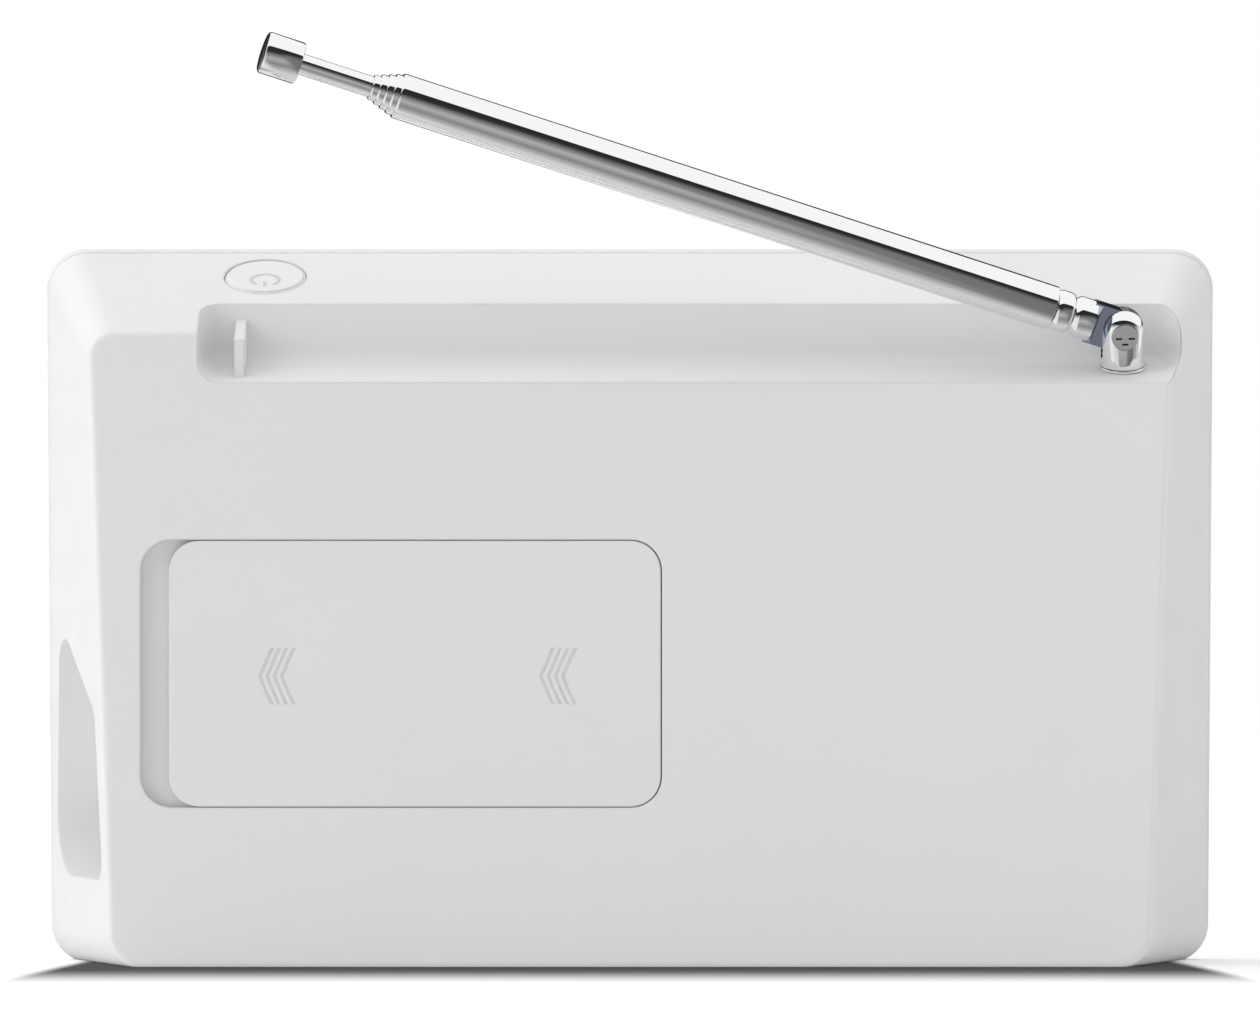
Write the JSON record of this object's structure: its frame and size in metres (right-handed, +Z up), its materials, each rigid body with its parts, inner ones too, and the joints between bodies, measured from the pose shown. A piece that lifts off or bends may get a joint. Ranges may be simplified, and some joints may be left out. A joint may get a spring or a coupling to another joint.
{
  "type": "tabletop radio",
  "caption": "Wedge-shaped white portable radio with a speaker, tuning and volume knobs, a sliding battery door and a folding telescopic antenna in a groove.",
  "frame": {"origin": "centre of the flat underside that the radio stands on", "axes": "+Z up, +Y out of the back towards the battery door side, the front face towards -Y, +X along the longest side"},
  "size_m": [0.1606, 0.0622, 0.1248],
  "materials": {
    "shell_white": "fine satin moulding",
    "door_white": "fine satin moulding",
    "control_white": "satin moulding",
    "grille_grey": "fine powder coat",
    "dial_print": "printed dial plate",
    "cloth_black": "thin woven dust cloth",
    "basket_steel": "zinc plated pressing",
    "magnet_ferrite": "sintered ferrite",
    "cone_paper": "pressed pulp",
    "screw_steel": "zinc plated",
    "shaft_metal": "turned",
    "part_case": "moulded",
    "board_green": "solder mask",
    "chip_black": "moulded epoxy",
    "socket_black": "moulded",
    "coil_copper": "enamelled wire",
    "cell_jacket": "printed jacket",
    "contact_nickel": "nickel plated",
    "antenna_chrome": "bright plating",
    "knuckle_chrome": "bright plating"
  },
  "bodies": {
    "casing": {"rear_shell": "shell_white", "front_shell": "shell_white", "speaker_grille": "grille_grey", "dial_plate": "dial_print", "speaker_cloth": "cloth_black", "speaker_basket": "basket_steel", "speaker_magnet": "magnet_ferrite", "ferrite_rod": "magnet_ferrite", "speaker_screws": "screw_steel", "board_screws": "screw_steel", "switch_screws": "screw_steel", "casing_screws": "screw_steel", "coil_cans": "shaft_metal", "tuning_capacitor": "part_case", "volume_control": "part_case", "main_board": "board_green", "switch_board": "board_green", "receiver_chip": "chip_black", "amplifier_chip": "chip_black", "capacitors": "chip_black", "power_switch": "chip_black", "headphone_jack": "socket_black", "dc_socket": "socket_black", "ferrite_coil": "coil_copper", "battery_cells": "cell_jacket", "battery_springs": "contact_nickel", "battery_contacts": "contact_nickel", "antenna_contact": "contact_nickel", "antenna_collar": "antenna_chrome"},
    "door": {"battery_door": "door_white"},
    "button": {"power_button": "control_white", "switch_plunger": "chip_black"},
    "tuning_dial": {"tuning_knob": "control_white", "tuning_shaft": "shaft_metal"},
    "volume_dial": {"volume_knob": "control_white", "volume_shaft": "shaft_metal"},
    "cone": {"speaker_cone": "cone_paper"},
    "post": {"antenna_post": "antenna_chrome", "antenna_pivot_screw": "antenna_chrome", "antenna_mount_screw": "screw_steel"},
    "arm": {"antenna_knuckle": "knuckle_chrome", "antenna_tube_1": "antenna_chrome"},
    "section_2": {"antenna_tube_2": "antenna_chrome"},
    "section_3": {"antenna_tube_3": "antenna_chrome"},
    "section_4": {"antenna_tube_4": "antenna_chrome"},
    "section_5": {"antenna_tube_5": "antenna_chrome"},
    "rod": {"antenna_rod": "antenna_chrome", "antenna_tip": "antenna_chrome"}
  },
  "joints": [
    {"name": "battery_door_slide", "type": "slide", "parent": "casing", "child": "door", "axis": [1, 0, 0], "range_m": [0, 0.0038]},
    {"name": "power_button_press", "type": "slide", "parent": "casing", "child": "button", "axis": [0, -0.4384, -0.8988], "range_m": [0, 0.0007], "stiffness_N_per_m": 800, "springref_m": -0.0005},
    {"name": "tuning_turn", "type": "hinge", "parent": "casing", "child": "tuning_dial", "pos_m": [0.042, -0.00934, 0.06849], "axis": [0, -0.9925, 0.1219], "range_deg": [-90, 90]},
    {"name": "volume_turn", "type": "hinge", "parent": "casing", "child": "volume_dial", "pos_m": [0.042, -0.01495, 0.02283], "axis": [0, -0.9925, 0.1219], "range_deg": [-135, 135]},
    {"name": "speaker_cone_travel", "type": "slide", "parent": "casing", "child": "cone", "axis": [0, -0.9925, 0.1219], "range_m": [-0.0005, 0.0005], "stiffness_N_per_m": 1500},
    {"name": "antenna_swivel", "type": "hinge", "parent": "casing", "child": "post", "pos_m": [-0.0667, 0.01505, 0.08589], "axis": [0, 0.3453, 0.9385], "range_deg": [-3.8, 140]},
    {"name": "antenna_fold", "type": "hinge", "parent": "post", "child": "arm", "pos_m": [-0.0667, 0.01505, 0.08589], "axis": [0.0663, -0.9364, 0.3445], "range_deg": [-17, 90]},
    {"name": "antenna_slide_2", "type": "slide", "parent": "arm", "child": "section_2", "axis": [0.9394, 0.175, 0.2948], "range_m": [0, 0.08]},
    {"name": "antenna_slide_3", "type": "slide", "parent": "section_2", "child": "section_3", "axis": [0.9394, 0.175, 0.2948], "range_m": [0, 0.08]},
    {"name": "antenna_slide_4", "type": "slide", "parent": "section_3", "child": "section_4", "axis": [0.9394, 0.175, 0.2948], "range_m": [0, 0.08]},
    {"name": "antenna_slide_5", "type": "slide", "parent": "section_4", "child": "section_5", "axis": [0.9394, 0.175, 0.2948], "range_m": [0, 0.08]},
    {"name": "antenna_rod_slide", "type": "slide", "parent": "section_5", "child": "rod", "axis": [0.9394, 0.175, 0.2948], "range_m": [-0.009, 0.074]}
  ]
}
